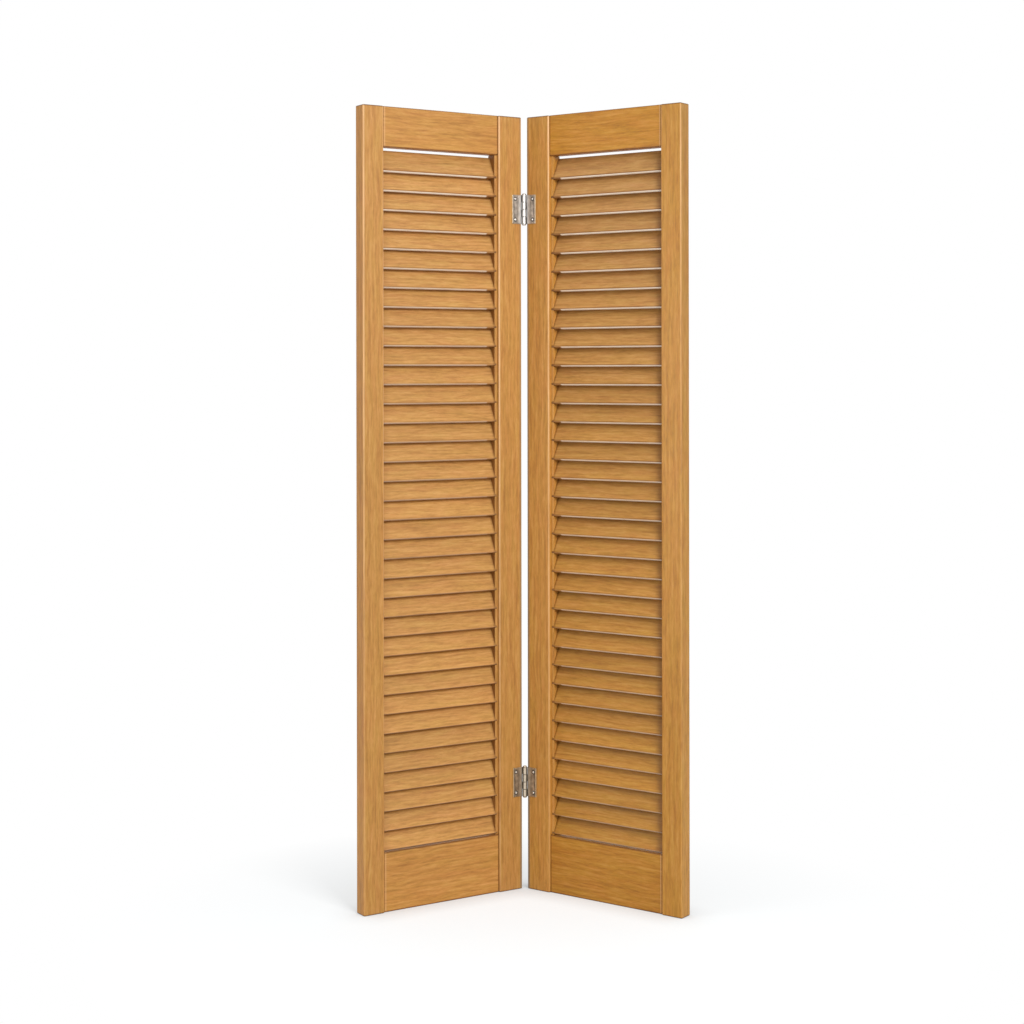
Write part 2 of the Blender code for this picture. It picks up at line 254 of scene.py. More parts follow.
def wired(tree, kind, options=None, inputs=None):
    """Adds a shader node, with its options, and its inputs as values or as links from other nodes."""
    node = tree.nodes.new("ShaderNode" + kind)
    for option, value in (options or {}).items():
        setattr(node, option, value)
    for socket, value in (inputs or {}).items():
        if isinstance(value, bpy.types.NodeSocket):
            tree.links.new(value, node.inputs[socket])
        else:
            node.inputs[socket].default_value = value
    return node


def worked(tree, operation, *values):
    """The result of a sum on numbers or on other nodes' results."""
    return wired(tree, "Math", {"operation": operation}, dict(enumerate(values))).outputs[0]


def vector_worked(tree, operation, first, second):
    """The result of a sum on two places or directions."""
    return wired(tree, "VectorMath", {"operation": operation}, {0: first, 1: second})


def product(tree, first, *others):
    """Numbers or other nodes' results multiplied together."""
    for other in others:
        first = worked(tree, "MULTIPLY", first, other)
    return first


def mixed(tree, blend, factor, first, second):
    """Two colours blended by a factor."""
    options = {"data_type": "RGBA", "blend_type": blend}
    return wired(tree, "Mix", options, {0: factor, 6: first, 7: second}).outputs[2]


def spread(tree, value, low, high, to_low, to_high):
    """A value stretched from one range to another, held at both ends."""
    inputs = {"Value": value, "From Min": low, "From Max": high, "To Min": to_low, "To Max": to_high}
    return wired(tree, "MapRange", None, inputs).outputs[0]


def band(tree, place, middle, core, edge, strength):
    """A strip beside a middle line: at its strength as far as the core, and fading out to the edge."""
    beside = worked(tree, "ABSOLUTE", worked(tree, "SUBTRACT", place, middle))
    return spread(tree, beside, core, edge, strength, 0.0)


def marked(tree, name):
    """A number that a mesh keeps for each of its points."""
    return wired(tree, "Attribute", {"attribute_name": name}).outputs["Fac"]


def streaks(tree, where, stretch, detail, roughness):
    """Cloudy noise at a place, drawn out by a different amount on each axis."""
    drawn = vector_worked(tree, "MULTIPLY", where, stretch).outputs[0]
    inputs = {"Vector": drawn, "Scale": 1.0, "Detail": detail, "Roughness": roughness}
    return wired(tree, "TexNoise", None, inputs)


# How oak grain runs: cycles in a metre along, across and through the board, then detail and roughness
WANDER = ((6.0, 11.0, 11.0), 1.0, 0.5)
GRAIN = {
    "long": ((5.1, 160.0, 160.0), 2.0, 0.5),
    "short": ((26.0, 190.0, 190.0), 3.0, 0.55),
    "fibres": ((70.0, 660.0, 660.0), 2.0, 0.6),
    "drift": ((0.9, 9.0, 9.0), 1.0, 0.5),
    "blush": ((11.0, 60.0, 60.0), 2.0, 0.55),
    "vessels": ((45.0, 1300.0, 1300.0), 1.0, 0.5),
}
GRAIN_BEND = (0.0, 0.013, 0.013)
FIGURE_SHARES = {"long": 0.38, "short": 0.42, "fibres": 0.20}


def oak_grain(tree, surface):
    """The parts of a board's grain, by name, from its own stretch of the tree."""
    cut = wired(tree, "CombineXYZ", None, {
        "X": marked(tree, "plank_along"),
        "Y": marked(tree, "plank_across"),
        "Z": marked(tree, "plank_through"),
    }).outputs[0]
    log = vector_worked(tree, "ADD", surface.outputs["Object"], cut).outputs[0]
    wander = streaks(tree, log, *WANDER).outputs["Color"]
    bend = vector_worked(tree, "MULTIPLY", wander, GRAIN_BEND).outputs[0]
    log = vector_worked(tree, "ADD", log, bend).outputs[0]
    return {name: streaks(tree, log, *run).outputs[0] for name, run in GRAIN.items()}


# Stain: how much the tone, the warmth and the grain sway its lightness, strength and hue
TONE_BASE = 0.89
TONE_STEP = 0.05
TONE_DRIFT = 0.22
WARMTH_STEP = 0.08
HUE_BASE = 0.489
HUE_BLUSH = 0.022
PORE_DEPTH = 0.40
PORE_STAIN = (0.55, 0.42, 0.32, 1.0)

# Ranges that a mark or the grain is stretched over: from, to, and the outcome at both
FIGURE_RANGE = (0.34, 0.66, 0.0, 1.0)
PORE_RANGE = (0.60, 0.72, 0.0, 1.0)


def stained(tree, grain, pores, dark, middle, pale):
    """The colour of honey-stained oak, by its grain and the board's own tone."""
    short_share = product(tree, grain["short"], FIGURE_SHARES["short"])
    figure = worked(tree, "MULTIPLY_ADD", grain["long"], FIGURE_SHARES["long"], short_share)
    figure = worked(tree, "MULTIPLY_ADD", grain["fibres"], FIGURE_SHARES["fibres"], figure)
    ramp = wired(tree, "ValToRGB", None, {"Fac": spread(tree, figure, *FIGURE_RANGE)})
    ramp.color_ramp.elements[0].color = (*dark, 1.0)
    ramp.color_ramp.elements[1].color = (*pale, 1.0)
    ramp.color_ramp.elements.new(0.5).color = (*middle, 1.0)
    tone = worked(tree, "MULTIPLY_ADD", marked(tree, "shade"), TONE_STEP, TONE_BASE)
    colour = wired(tree, "HueSaturation", None, {
        "Color": ramp.outputs["Color"],
        "Hue": worked(tree, "MULTIPLY_ADD", grain["blush"], HUE_BLUSH, HUE_BASE),
        "Saturation": worked(tree, "MULTIPLY_ADD", marked(tree, "warmth"), WARMTH_STEP, 1.0),
        "Value": worked(tree, "MULTIPLY_ADD", grain["drift"], TONE_DRIFT, tone),
    }).outputs[0]
    return mixed(tree, "MULTIPLY", product(tree, pores, PORE_DEPTH), colour, PORE_STAIN)


# Colours that wear and painted highlights show, and that painted light and shade and end grain lay over the
# stain
WORN_AND_LIT_OAK = (0.88, 0.54, 0.27, 1.0)
LIP_HIGHLIGHT_OAK = (1.0, 0.96, 0.86, 1.0)
SHADE_TINT = (0.42, 0.33, 0.24, 1.0)
DARK_SHADE_TINT = (0.36, 0.27, 0.19, 1.0)
EDGE_SHADE = (0.27, 0.185, 0.10, 1.0)
END_GRAIN = (0.72, 0.64, 0.55, 1.0)
LEFT_FLANK_SHADING = (1.0, 0.92, 0.74, 1.0)
RIGHT_FLANK_SHADING = (0.91, 0.94, 1.10, 1.0)

# Where they lie, as ranges like those above, in metres where they are measured from an end
WORN_AND_LIT_RANGE = (0.0, 0.7, 0.0, 1.0)
WORN_AND_LIT_GRAIN = (0.35, 0.6, 0.55, 0.90)
LIP_HIGHLIGHT_GRAIN = (0.35, 0.6, 0.80, 1.0)
OUTER_SHADE_RANGE = (0.002, 0.026, 1.0, 0.0)
NOTCH_SHADE_RANGE = (0.021, 0.025, 0.0, 1.0)
END_GRAIN_RANGE = (0.6, 0.95, 0.0, 0.7)
FLANK_SHADING_RANGE = (0.55, 0.95, 0.0, 1.0)
SEAM_START = 0.0005
SEAM_REACH = 0.0060
SEAM_NARROWED = 0.0028
SEAM_DEPTH = 0.62
SEAM_DEEPENED = 0.33
END_HIGHLIGHT_INSET = 0.0050
END_HIGHLIGHT_BAND = (0.0004, 0.0018, 0.45)
SHADE_LINE_BAND = (0.0, 0.0024, 1.0)
MEETING_BAND = (0.0060, 0.0088, 1.0)


def wear_and_painted_light(tree, surface, grain, colour):
    """An oak board's colour after wear, painted highlights, painted shade and end grain, each where the
    mesh is marked for it.
    """
    place = wired(tree, "SeparateXYZ", None, {"Vector": surface.outputs["Object"]}).outputs
    shoulder = marked(tree, "shoulder")
    outward = product(tree, place["X"], marked(tree, "outward"))
    from_outer = worked(tree, "SUBTRACT", shoulder, outward)
    from_inner = worked(tree, "ADD", shoulder, outward)
    from_end = worked(tree, "SUBTRACT", shoulder, worked(tree, "ABSOLUTE", place["X"]))

    # Wear on the rounded arrises, with a painted highlight in the same pale colour
    thin = spread(tree, marked(tree, "worn_and_lit"), *WORN_AND_LIT_RANGE)
    worn_and_lit = product(tree, thin, spread(tree, grain["long"], *WORN_AND_LIT_GRAIN))
    colour = mixed(tree, "MIX", worn_and_lit, colour, WORN_AND_LIT_OAK)
    # Painted shade at a slat's outer end
    dusk = product(tree, spread(tree, from_outer, *OUTER_SHADE_RANGE), marked(tree, "dusk"))
    colour = mixed(tree, "MULTIPLY", dusk, colour, SHADE_TINT)
    # Painted highlight on a slat's lip, stopping short of the hinge-side end
    lip_light = product(tree, marked(tree, "lip_highlight"), spread(tree, grain["short"], *LIP_HIGHLIGHT_GRAIN))
    lip_light_shown = product(tree, lip_light, spread(tree, from_inner, *NOTCH_SHADE_RANGE))
    colour = mixed(tree, "MIX", lip_light_shown, colour, LIP_HIGHLIGHT_OAK)
    # Painted shade where the lip highlight stops, at the hinge-side end
    colour = mixed(tree, "MULTIPLY", worked(tree, "SUBTRACT", lip_light, lip_light_shown), colour, DARK_SHADE_TINT)
    # Painted shade under a slat's lip, on a rail's rounded corners and on a stile's ends and back corners
    colour = mixed(tree, "MULTIPLY", marked(tree, "shadowed"), colour, DARK_SHADE_TINT)

    # Painted shade at a board's ends, where it meets its neighbours
    end_line = marked(tree, "end_line")
    seam_shade_reach = worked(tree, "MULTIPLY_ADD", end_line, -SEAM_NARROWED, SEAM_REACH)
    seam_shade_depth = worked(tree, "MULTIPLY_ADD", end_line, SEAM_DEEPENED, SEAM_DEPTH)
    seam_shade = product(tree, spread(tree, from_end, SEAM_START, seam_shade_reach, 1.0, 0.0), seam_shade_depth)
    colour = mixed(tree, "MULTIPLY", seam_shade, colour, SHADE_TINT)
    # Painted highlight in a thin band near a rail's outer end
    end_highlight = product(tree, band(tree, from_outer, END_HIGHLIGHT_INSET, *END_HIGHLIGHT_BAND), end_line)
    colour = mixed(tree, "MIX", end_highlight, colour, WORN_AND_LIT_OAK)
    # Painted shade in thin lines above a slat's lip and along a rail's edges
    shade_line = band(tree, worked(tree, "ABSOLUTE", place["Y"]), marked(tree, "line_at"), *SHADE_LINE_BAND)
    colour = mixed(tree, "MULTIPLY", product(tree, shade_line, marked(tree, "shade_lined")), colour, SHADE_TINT)
    meeting = band(tree, place["Y"], marked(tree, "meeting_at"), *MEETING_BAND)
    colour = mixed(tree, "MIX", product(tree, meeting, marked(tree, "meeting")), colour, EDGE_SHADE)

    facing_to = wired(tree, "SeparateXYZ", None, {"Vector": surface.outputs["Normal"]}).outputs
    end_face = spread(tree, worked(tree, "ABSOLUTE", facing_to["X"]), *END_GRAIN_RANGE)
    colour = mixed(tree, "MULTIPLY", end_face, colour, END_GRAIN)
    # Painted light and shade on an outer stile's outer edge, by the way the face points
    flank = marked(tree, "flank")
    outer_face = spread(tree, product(tree, facing_to["Y"], flank), *FLANK_SHADING_RANGE)
    is_right = spread(tree, flank, -1.0, 1.0, 0.0, 1.0)
    flank_tint = mixed(tree, "MIX", is_right, LEFT_FLANK_SHADING, RIGHT_FLANK_SHADING)
    colour = mixed(tree, "MULTIPLY", outer_face, colour, flank_tint)
    hollow_face = product(tree, facing_to["Y"], marked(tree, "hollow"))
    return mixed(tree, "MULTIPLY", spread(tree, hollow_face, 0.0, 1.0, 0.0, 1.0), colour, SHADE_TINT)


# Satin varnish: its sheen, and how far the grain stands out of it
OAK_ROUGHNESS = (0.3, 0.7, 0.40, 0.54)
OAK_SPECULAR = 0.36
OAK_COAT = 0.06
OAK_COAT_ROUGHNESS = 0.30
OAK_BUMP = {"Strength": 0.22, "Distance": 0.0004}
SHORT_GRAIN_RISE = 0.5
PORE_RISE = -0.6


def varnished_oak(name, dark, middle, pale):
    """Honey-stained oak under satin varnish, with its grain along the board's own X axis."""
    material = bpy.data.materials.new(name)
    material.use_nodes = True
    tree = material.node_tree
    shader = tree.nodes["Principled BSDF"]
    surface = wired(tree, "TexCoord")
    grain = oak_grain(tree, surface)
    pores = spread(tree, grain["vessels"], *PORE_RANGE)
    colour = stained(tree, grain, pores, dark, middle, pale)
    tree.links.new(wear_and_painted_light(tree, surface, grain, colour), shader.inputs["Base Color"])
    tree.links.new(spread(tree, grain["fibres"], *OAK_ROUGHNESS), shader.inputs["Roughness"])
    height = worked(tree, "MULTIPLY_ADD", grain["short"], SHORT_GRAIN_RISE, grain["fibres"])
    height = worked(tree, "MULTIPLY_ADD", pores, PORE_RISE, height)
    bump = wired(tree, "Bump", None, {**OAK_BUMP, "Height": height})
    tree.links.new(bump.outputs[0], shader.inputs["Normal"])
    shader.inputs["Specular IOR Level"].default_value = OAK_SPECULAR
    shader.inputs["Coat Weight"].default_value = OAK_COAT
    shader.inputs["Coat Roughness"].default_value = OAK_COAT_ROUGHNESS
    return material


def fit(name, mesh, material, side, stance, slot, *nodes):
    """Puts a finished piece in its place on a leaf, in the stead of the solids that it stands for."""
    mesh.materials.clear()
    mesh.materials.append(material)
    mesh.shade_smooth()
    mesh.set_sharp_from_angle(angle=SHARP_ANGLE)
    piece = bpy.data.objects.new(name, mesh)
    bpy.context.scene.collection.objects.link(piece)
    piece.matrix_world = leaf_axes[side] @ stance
    piece.modifiers.new("even_faces", "WEIGHTED_NORMAL").keep_sharp = True
    bpy.context.view_layer.update()
    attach(piece, leaf_body[side])
    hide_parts(*nodes)
    return piece


def plain_stile(side, place):
    """Lowest and highest corner of a stile, without the step along a hinge stile's inner edge."""
    low, high = leaf_box(side, f"{side}_{place}_stile")
    if place == "hinge" and side == "right":
        high.x -= STEP_WIDTH
    if place == "hinge" and side == "left":
        low.x += STEP_WIDTH
    return low, high


def mark_slat(slat, slat_size, side, up):
    """Marks a slat's painted highlight on the lip, its painted shade and its edge wear with painted
    highlight, by its share of the way up the stack.
    """
    lip_highlight = min(max(between(SLAT_LIP_HIGHLIGHTS[side], up), 0.0), 1.0)
    lip_edge = LOUVRE_EDGE_RADIUS - LOUVRE_WIDTH / 2
    lip_light_shown = []
    shade_lined = []
    shadowed = []
    for vertex in slat.vertices:
        in_front = vertex.co.z > 0
        below = lip_edge - vertex.co.y - (LIP_START if in_front else 0.0)
        lip_light_shown.append(lip_highlight * min(max(below / LIP_RISE, 0.0), 1.0))
        shade_lined.append(lip_highlight if in_front and vertex.co.y < 0 else 0.0)
        shadowed.append(SLAT_UNDER_SHADE[side] * (1.0 - lip_highlight) if below > 0 else 0.0)
    store(slat, "lip_highlight", lip_light_shown)
    store(slat, "shade_lined", shade_lined)
    store(slat, "shadowed", shadowed)
    corners = rounded_marks(slat, *slat_size)[0]
    store(slat, "worn_and_lit", [between(SLAT_WEAR_AND_HIGHLIGHT[side], up) * corner for corner in corners])
    store_all(slat, line_at=LIP_LINE - lip_edge, outward=SIDES[side], dusk=SLAT_OUTER_SHADE[side])


lying = Matrix(((1, 0, 0, 0), (0, 0, -1, 0), (0, 1, 0, 0), (0, 0, 0, 1)))
stile_boxes = {
    side: sorted(
        (plain_stile(side, place) for place in ("outer", "hinge")),
        key=lambda corners: corners[0].x,
    )
    for side in SIDES
}
louvre_oak = varnished_oak("louvre_oak", *LOUVRE_OAK)
slat_draw = random.Random(SLAT_SEED)
slat_lengths = {}
slat_stances = {}
for side in SIDES:
    opening_left = stile_boxes[side][0][1].x + (STEP_WIDTH if side == "right" else 0.0)
    opening_right = stile_boxes[side][1][0].x - (STEP_WIDTH if side == "left" else 0.0)
    opening = opening_right - opening_left
    stack_bottom = rail_box(side, "bottom")[1].z + LOUVRE_BOTTOM_MARGIN
    stack_top = rail_box(side, "top")[0].z - LOUVRE_TOP_MARGIN
    pitch = (stack_top - stack_bottom) / LOUVRES_PER_LEAF
    pair_low, pair_high = leaf_box(side, f"{side}_louvre_pair_01")
    slat_lengths[side] = opening + 2 * LOUVRE_INTO_STILE
    slat_radii = [LOUVRE_EDGE_RADIUS] * 4
    slat_size = (slat_lengths[side], LOUVRE_WIDTH, LOUVRE_THICKNESS, slat_radii, LOUVRE_END_EASING)
    slat_stances[side] = []
    for number in range(LOUVRES_PER_LEAF):
        level = stack_bottom + (number + 0.5) * pitch
        middle = Vector(((opening_left + opening_right) / 2, (pair_low.y + pair_high.y) / 2, level))
        stance = Matrix.Translation(middle) @ Matrix.Rotation(-LOUVRE_TILT, 4, "X") @ lying
        slat_stances[side].append(stance)
        up = number / (LOUVRES_PER_LEAF - 1)
        slat = board(*slat_size)
        mark_slat(slat, slat_size, side, up)
        tone = (between(SLAT_SHADES[side], up), between(SLAT_WARMTHS[side], up))
        mark_plank(slat, slat_draw, tone, opening / 2)
        # Painted shade across each slat, darkest at its upper back edge and paling towards the lip
        for vertex, shade in zip(slat.vertices, slat.attributes["shade"].data):
            shade.value -= SLAT_SHADOW_FADES[side] * vertex.co.y / (LOUVRE_WIDTH / 2)
        fit(f"{side}_slat_{number + 1:02d}", slat, louvre_oak, side, stance, "louvre_wood",
            f"{side}_louvre_pair_{number // 2 + 1:02d}")

# Rails
# A cross board at the top and the bottom of each leaf, oak with its grain running across.
# It is a little thinner than the stiles and set back from their faces, and its tenons are glued into them.
RAIL_RADIUS = 0.0015
RAIL_END_EASING = 0.0003
RAIL_FIT = 0.0003
TENON_THICKNESS = 0.012
TENON_SHOULDER = 0.018
TENON_RADIUS = 0.0005
RAIL_CORNER_SHADE = 0.85

# Dark, middle and pale grain, and the seed of each rail's own cut
RAIL_OAK = ((0.36, 0.155, 0.030), (0.51, 0.238, 0.050), (0.61, 0.310, 0.086))
RAIL_SEED = 4

# The painted shade line along a rail's lower and upper edge, and each rail's tone and warmth, the tone
# partly painted light and shade
RAIL_SHADE_LINES = {"top": (0.80, 0.30), "bottom": (1.0, 0.80)}
RAIL_LINE_INSET = 0.0015
RAIL_TONES = {
    "left_top": (1.4, 0.0),
    "left_bottom": (1.6, 0.0),
    "right_top": (0.8, 1.0),
    "right_bottom": (-2.3, 0.9),
}


def combine(base, others, operation):
    """Joins closed meshes to a base, or cuts them out of it, as one mesh."""
    workpiece = bpy.data.objects.new("workpiece", base)
    bpy.context.scene.collection.objects.link(workpiece)
    tools = []
    for other in others:
        tool = bpy.data.objects.new("tool", other)
        bpy.context.scene.collection.objects.link(tool)
        modifier = workpiece.modifiers.new(operation, "BOOLEAN")
        modifier.operation = operation
        modifier.solver = "EXACT"
        modifier.object = tool
        tools.append(tool)
    bpy.context.view_layer.update()
    evaluated = workpiece.evaluated_get(bpy.context.evaluated_depsgraph_get())
    bm = bmesh.new()
    bm.from_mesh(evaluated.data)
    bmesh.ops.remove_doubles(bm, verts=bm.verts, dist=WELD)
    for helper in [workpiece] + tools:
        bpy.data.objects.remove(helper)
    return mesh_from(bm)


def moved(mesh, matrix):
    """A copy of a mesh in another place."""
    copy = mesh.copy()
    copy.transform(matrix)
    return copy


rail_oak = varnished_oak("rail_oak", *RAIL_OAK)
rail_draw = random.Random(RAIL_SEED)
rail_radii = [RAIL_RADIUS] * 4
mortises = {side: [] for side in SIDES}
for side in SIDES:
    for level in ("top", "bottom"):
        low, high = rail_box(side, level)
        shoulder_left = stile_boxes[side][0][1].x + RAIL_FIT
        shoulder_right = stile_boxes[side][1][0].x - RAIL_FIT
        rail_length = shoulder_right - shoulder_left
        rail_size = (rail_length, high.z - low.z, high.y - low.y, rail_radii, RAIL_END_EASING)
        tenon_width = high.z - low.z - 2 * TENON_SHOULDER
        tenon = (high.x - low.x, tenon_width, TENON_THICKNESS, [TENON_RADIUS] * 4, TENON_RADIUS)
        stance = Matrix.Translation((low + high) / 2) @ lying
        rail = combine(board(*rail_size), [board(*tenon)], "UNION")
        corners = rounded_marks(rail, *rail_size)[0]
        # Painted shade on the rail's rounded long corners
        store(rail, "shadowed", [RAIL_CORNER_SHADE * corner for corner in corners])
        under, over = RAIL_SHADE_LINES[level]
        store(rail, "shade_lined", [under if vertex.co.y < 0 else over for vertex in rail.vertices])
        store_all(rail, line_at=rail_size[1] / 2 - RAIL_LINE_INSET, end_line=1.0, outward=SIDES[side])
        mark_plank(rail, rail_draw, RAIL_TONES[f"{side}_{level}"], rail_length / 2)
        fit(f"{side}_{level}_rail_board", rail, rail_oak, side, stance, "rail_wood", f"{side}_{level}_rail")
        loose = [size + 2 * RAIL_FIT for size in tenon[:3]]
        mortises[side].append(moved(board(*loose, *tenon[3:]), stance))

# Stiles
# The four upright boards, planed from straight-grained oak, with rounded arrises and eased ends.
# Their inner edges are mortised for the rails and housed for the slats, and the two that meet in the
# middle are bored for the hinge screws.
INNER_ROUNDOVER = 0.004
OUTER_ROUNDOVER = 0.004
END_EASING = 0.0025
HOUSING_FIT = 0.0003
PILOT_RADIUS = 0.0022
PILOT_STEPS = 16
STEP_SETBACK = 0.0090
STEP_ROOT = 0.0060
STEP_BACK = 0.0010
STEP_RADIUS = 0.0010

# Dark, middle and pale grain, and the seed of each stile's own cut
STILE_OAK = ((0.37, 0.165, 0.034), (0.52, 0.248, 0.055), (0.62, 0.322, 0.094))
STILE_SEED = 11

# Painted shade on the ends and back corners, in the step and along the edges that meet, foot to head
STILE_END_SHADE = 0.85
END_LINE = 0.60
BACK_SHADE = 1.0
HOLLOW_SHADE = {"left": 0.80, "right": 0.0}
MEETING_SHADE = {"left": (0.75, 0.25), "right": (1.0, 0.55)}

# Wear with painted highlight on the front arrises, growing from foot to head, painted shading down the
# outer edge, and tone and warmth, the tone partly painted light and shade
ARRIS_WEAR_AND_HIGHLIGHT = {"left_outer": 0.75, "left_hinge": 1.0, "right_hinge": 0.8, "right_outer": 0.35}
ARRIS_HIGHLIGHT_FADE = (0.15, 1.0)
FLANK_LIGHT_FADES = {"left": 0.0, "right": 6.0}
STILE_TONES = {
    "left_outer": (0.4, 0.0),
    "left_hinge": (0.0, 0.0),
    "right_hinge": (2.5, 0.3),
    "right_outer": (0.8, 0.7),
}

standing = Matrix(((0, 1, 0, 0), (0, 0, 1, 0), (1, 0, 0, 0), (0, 0, 0, 1)))
facing = Matrix.Rotation(math.pi / 2, 4, "X")
stile_oak = varnished_oak("stile_oak", *STILE_OAK)
stile_draw = random.Random(STILE_SEED)


def drilled(side):
    """Pilot holes in a hinge stile, one behind each screw of its hinge plates."""
    holes = []
    for hinge in ("upper", "lower"):
        for spot in ("high", "low"):
            low, high = leaf_box(side, f"{hinge}_hinge_{side}_screw_{spot}")
            bm = bmesh.new()
            bmesh.ops.create_cone(
                bm, cap_ends=True, segments=PILOT_STEPS, radius1=PILOT_RADIUS, radius2=PILOT_RADIUS,
                depth=high.y - low.y, matrix=Matrix.Translation((low + high) / 2) @ facing,
            )
            holes.append(mesh_from(bm))
    return holes


def slat_step(side, low, high):
    """The step along a hinge stile's inner edge that takes the slat ends, set back behind its face."""
    bottom = rail_box(side, "bottom")[1].z + RAIL_FIT
    top = rail_box(side, "top")[0].z - RAIL_FIT
    inner = high.x if side == "right" else low.x
    middle = inner + SIDES[side] * (STEP_WIDTH - STEP_ROOT) / 2
    depth = high.y - low.y - STEP_SETBACK - STEP_BACK
    centre = Vector((middle, low.y + STEP_SETBACK + depth / 2, (bottom + top) / 2))
    step = board(top - bottom, STEP_WIDTH + STEP_ROOT, depth, [STEP_RADIUS] * 4, LEAST_RADIUS)
    return moved(step, Matrix.Translation(centre) @ standing)


def mark_stile(stile, stile_size, side, place):
    """Marks a stile's arris wear with painted highlight, painted shade on its ends and back corners, and
    painted shade in its step, along its edges or on its outer edge.
    """
    length, width = stile_size[:2]
    sign = SIDES[side]
    wear_and_highlight = []
    shadowing = []
    hollow = []
    meeting = []
    for vertex, corner, rim in zip(stile.vertices, *rounded_marks(stile, *stile_size)):
        at_back = vertex.co.z > 0
        on_step = sign * vertex.co.y > (width + STEP_WIDTH) / 2
        up = vertex.co.x / length + 0.5
        wear_and_highlight.append(0.0 if at_back else ARRIS_WEAR_AND_HIGHLIGHT[f"{side}_{place}"] * between(ARRIS_HIGHLIGHT_FADE, up) * corner)
        shadowing.append(max(STILE_END_SHADE * rim, BACK_SHADE * corner if at_back else 0.0))
        hollow.append(sign * HOLLOW_SHADE[side] if on_step else 0.0)
        meeting.append(between(MEETING_SHADE[side], up))
    store(stile, "worn_and_lit", wear_and_highlight)
    store(stile, "shadowed", shadowing)
    store_all(stile, end_line=END_LINE)
    if place == "hinge":
        store(stile, "hollow", hollow)
        store(stile, "meeting", meeting)
        store_all(stile, meeting_at=-sign * width / 2)
    else:
        store_all(stile, flank=sign)


for side, sign in SIDES.items():
    slack = 2 * HOUSING_FIT
    housing_radii = [LOUVRE_EDGE_RADIUS + HOUSING_FIT] * 4
    housing_section = (LOUVRE_WIDTH + slack, LOUVRE_THICKNESS + slack, housing_radii)
    housing = board(slat_lengths[side] + slack, *housing_section, LOUVRE_END_EASING)
    for place in ("outer", "hinge"):
        low, high = plain_stile(side, place)
        inner_is_right = (place == "outer") == (side == "left")
        inner, outer = INNER_ROUNDOVER, OUTER_ROUNDOVER
        radii = [inner, outer, outer, inner] if inner_is_right else [outer, inner, inner, outer]
        stile_size = (high.z - low.z, high.x - low.x, high.y - low.y, radii, END_EASING)
        stance = Matrix.Translation((low + high) / 2) @ standing
        to_stile = stance.inverted()
        router = bmesh.new()
        for slat_stance in slat_stances[side]:
            router.from_mesh(moved(housing, to_stile @ slat_stance))
        cuts = [mesh_from(router)] + [moved(mortise, to_stile) for mortise in mortises[side]]
        stile = board(*stile_size)
        if place == "hinge":
            cuts += [moved(hole, to_stile) for hole in drilled(side)]
            stile = combine(stile, [moved(slat_step(side, low, high), to_stile)], "UNION")
        stile = combine(stile, cuts, "DIFFERENCE")
        mark_stile(stile, stile_size, side, place)
        mark_plank(stile, stile_draw, STILE_TONES[f"{side}_{place}"], stile_size[0] / 2)
        # Painted shading down the right outer stile's outer edge, darker towards the head
        for vertex, shade in zip(stile.vertices, stile.attributes["shade"].data):
            if place == "outer" and sign * vertex.co.y > stile_size[1] / 2 - WELD:
                shade.value -= FLANK_LIGHT_FADES[side] * vertex.co.x / stile_size[0]
        label = f"{side}_{place}_stile"
        fit(label + "_board", stile, stile_oak, side, stance, "stile_wood", label)

# Hinge plates
# Two butt hinges join the leaves on their front faces. Each plate is stamped from steel sheet, its edge
# rolled into two knuckles round the pin, its rim bevelled, and it is countersunk for two screws.
PLATE_THICKNESS = 0.0022
PLATE_FIT = 0.0003
PLATE_CORNER = 0.0020
PLATE_RIM = 0.0016
KNUCKLE_RADIUS = 0.0061
KNUCKLES_PER_PLATE = 2
KNUCKLE_FIT = 0.0004
KNUCKLE_RIM = 0.0006
ROLL_TAIL = 0.0080
ROLL_TURN = math.radians(296.0)
ROLL_STEPS = 40
RIM_STEPS = 3
SCREW_OFFSET = 0.0245
SCREW_INSET = 0.011
COUNTERSINK_RADIUS = 0.0048
COUNTERSINK_PAST = 0.003
HOLE_STEPS = 32
# Painted shade on each hinge's steel, far stronger on the lower one
HINGE_SHADES = {"upper": 0.10, "lower": 0.80}

# Colour of the steel, and its roughness where the brushing is finest and coarsest
HINGE_STEEL = ((0.54, 0.51, 0.465), 0.30, 0.46)


def turned(profile, steps):
    """A solid turned about Z from (radius, height) points that begin and end on the axis."""
    bm = bmesh.new()
    points = [bm.verts.new((radius, 0.0, height)) for radius, height in profile]
    lines = [bm.edges.new(pair) for pair in zip(points, points[1:])]
    bmesh.ops.spin(bm, geom=points + lines, axis=(0, 0, 1), cent=(0, 0, 0), angle=math.tau, steps=steps)
    bmesh.ops.remove_doubles(bm, verts=bm.verts, dist=WELD)
    return mesh_from(bm)


def pressed(outline, depth, rim, both_rims):
    """A flat shape in X and Y, pushed out along Z, with the rim of its far face, or of both, rounded."""
    bm = bmesh.new()
    face = bm.faces.new([bm.verts.new((x, y, 0.0)) for x, y in outline])
    sweep = bmesh.ops.extrude_face_region(bm, geom=[face])
    far = [item for item in sweep["geom"] if isinstance(item, bmesh.types.BMVert)]
    bmesh.ops.translate(bm, verts=far, vec=(0.0, 0.0, depth))
    bmesh.ops.recalc_face_normals(bm, faces=bm.faces)
    levels = (0.0, depth) if both_rims else (depth,)
    rims = [
        edge for edge in bm.edges
        if any(all(abs(end.co.z - level) < WELD for end in edge.verts) for level in levels)
    ]
    bmesh.ops.bevel(bm, geom=rims, offset=rim, segments=RIM_STEPS, profile=0.5, affect="EDGES")
    return mesh_from(bm)


